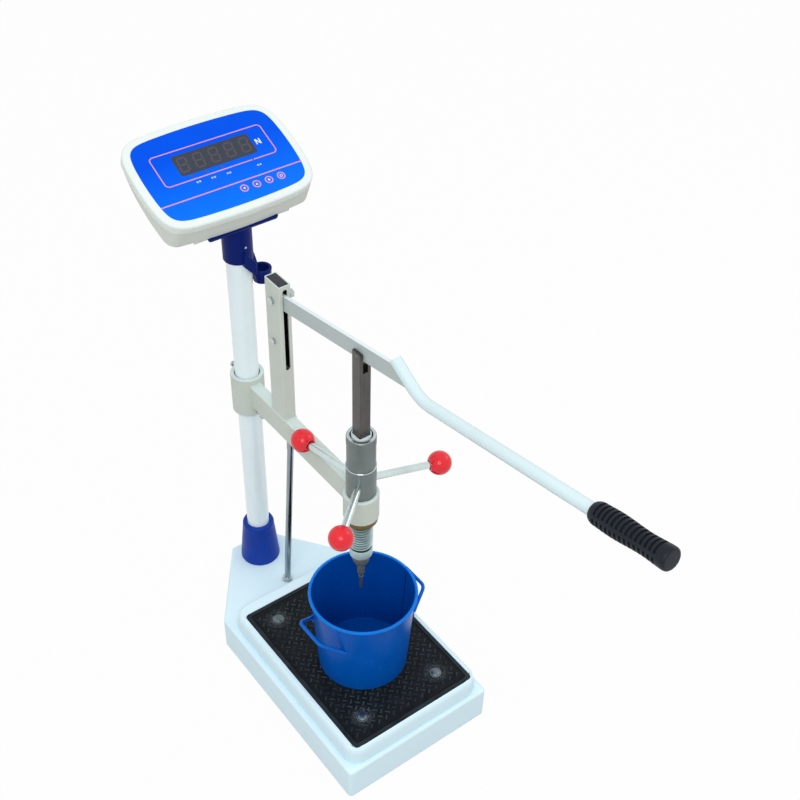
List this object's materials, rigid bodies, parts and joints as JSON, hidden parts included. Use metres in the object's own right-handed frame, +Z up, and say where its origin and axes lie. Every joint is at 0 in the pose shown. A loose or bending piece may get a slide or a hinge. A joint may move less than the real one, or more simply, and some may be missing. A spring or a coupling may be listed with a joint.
{
  "type": "concrete penetrometer",
  "caption": "Bench concrete penetrometer: a hand lever and screw feed press a needle into a round mould on a platform scale with a column display.",
  "frame": {"origin": "on the floor under the middle of the whole part's box", "axes": "+Z up, +Y from the operator's side to the column, +X to the operator's right"},
  "size_m": [0.27, 0.9634, 0.868],
  "materials": {
    "white_paint": "semi-gloss powder coat",
    "plain_steel": "plated",
    "black_rubber": "matt",
    "dark_screw": "blackened",
    "cell_metal": "milled",
    "column_paint": "gloss",
    "blue_plastic": "satin",
    "navy_plastic": "satin",
    "bright_zinc": "bright plated",
    "cream_paint": "satin",
    "brass": "turned",
    "black_plastic": "matt",
    "lever_paint": "satin",
    "handle_paint": "gloss",
    "ground_steel": "ground",
    "turned_steel": "turned and plated",
    "gunmetal": "blackened",
    "red_plastic": "polished",
    "blue_enamel": "enamel",
    "housing_plastic": "satin",
    "panel_film": "printed film",
    "smoked_window": "clear dark",
    "circuit_board": "lacquered",
    "key_plastic": "satin"
  },
  "bodies": {
    "stand": {"base_cover": "white_paint", "weigh_pan": "white_paint", "base_plate": "plain_steel", "cell_blocks": "plain_steel", "pan_spider": "plain_steel", "column_post": "plain_steel", "column_flange": "plain_steel", "rubber_feet": "black_rubber", "rubber_mat": "black_rubber", "mat_screws": "dark_screw", "load_cell": "cell_metal", "column_tube": "column_paint", "column_boot": "blue_plastic", "column_head": "navy_plastic", "tie_rod": "bright_zinc", "tie_sleeve": "bright_zinc", "tie_nut": "bright_zinc", "tie_washer": "bright_zinc", "clamp_bolts": "bright_zinc", "pivot_bolt": "bright_zinc", "pivot_nut": "bright_zinc", "stop_bolt": "bright_zinc", "stop_nut": "bright_zinc", "head_screw": "bright_zinc", "bracket_screws": "bright_zinc", "clamp_collar": "cream_paint", "arm_tube": "cream_paint", "head_collar": "cream_paint", "upright_tube": "cream_paint", "brass_nut": "brass", "upright_cap": "black_plastic", "indicator_back": "housing_plastic", "indicator_front": "housing_plastic", "panel_overlay": "panel_film", "display_window": "smoked_window", "display_board": "circuit_board"},
    "lever": {"lever_bar": "lever_paint", "handle_tube": "handle_paint", "hand_grip": "black_rubber"},
    "plunger": {"plunger_bar": "ground_steel", "cross_pin": "bright_zinc", "needle_chuck": "gunmetal", "chuck_nose": "gunmetal", "needle": "ground_steel"},
    "carriage": {"guide_bush": "turned_steel"},
    "handwheel": {"wheel_hub": "turned_steel", "sleeve_cap": "turned_steel", "feed_screw": "turned_steel", "spokes": "bright_zinc", "ball_knobs": "red_plastic"},
    "mould": {"mould_shell": "blue_enamel", "mould_rim": "blue_enamel", "mould_handles": "blue_enamel"},
    "key_1": {"key_a": "key_plastic"},
    "key_2": {"key_b": "key_plastic"},
    "key_3": {"key_c": "key_plastic"},
    "key_4": {"key_d": "key_plastic"}
  },
  "joints": [
    {"name": "lever_press", "type": "hinge", "parent": "stand", "child": "lever", "pos_m": [0, 0.25623, 0.6855], "axis": [1, 0, 0], "range_deg": [0, 9]},
    {"name": "plunger_drop", "type": "slide", "parent": "stand", "child": "plunger", "axis": [0, 0, -1], "range_m": [0, 0.03204]},
    {"name": "carriage_feed", "type": "slide", "parent": "stand", "child": "carriage", "axis": [0, 0, 1], "range_m": [0, 0.03001]},
    {"name": "handwheel_turn", "type": "hinge", "parent": "carriage", "child": "handwheel", "pos_m": [0, 0.05423, 0.489], "axis": [0, 0, 1], "range_deg": [0, 2160]},
    {"name": "mould_move", "type": "slide", "parent": "stand", "child": "mould", "axis": [1, 0, 0], "range_m": [-0.04, 0.04]},
    {"name": "key_1_press", "type": "slide", "parent": "stand", "child": "key_1", "axis": [0, 0.4019, -0.9157], "range_m": [0, 0.0005], "stiffness_N_per_m": 600},
    {"name": "key_2_press", "type": "slide", "parent": "stand", "child": "key_2", "axis": [0, 0.4019, -0.9157], "range_m": [0, 0.0005], "stiffness_N_per_m": 600},
    {"name": "key_3_press", "type": "slide", "parent": "stand", "child": "key_3", "axis": [0, 0.4019, -0.9157], "range_m": [0, 0.0005], "stiffness_N_per_m": 600},
    {"name": "key_4_press", "type": "slide", "parent": "stand", "child": "key_4", "axis": [0, 0.4019, -0.9157], "range_m": [0, 0.0005], "stiffness_N_per_m": 600}
  ],
  "couplings": [
    {"joint": "plunger_drop", "follows": "lever_press", "m_per_rad": 0.20384},
    {"joint": "carriage_feed", "follows": "handwheel_turn", "m_per_rad": 0.00079577}
  ]
}
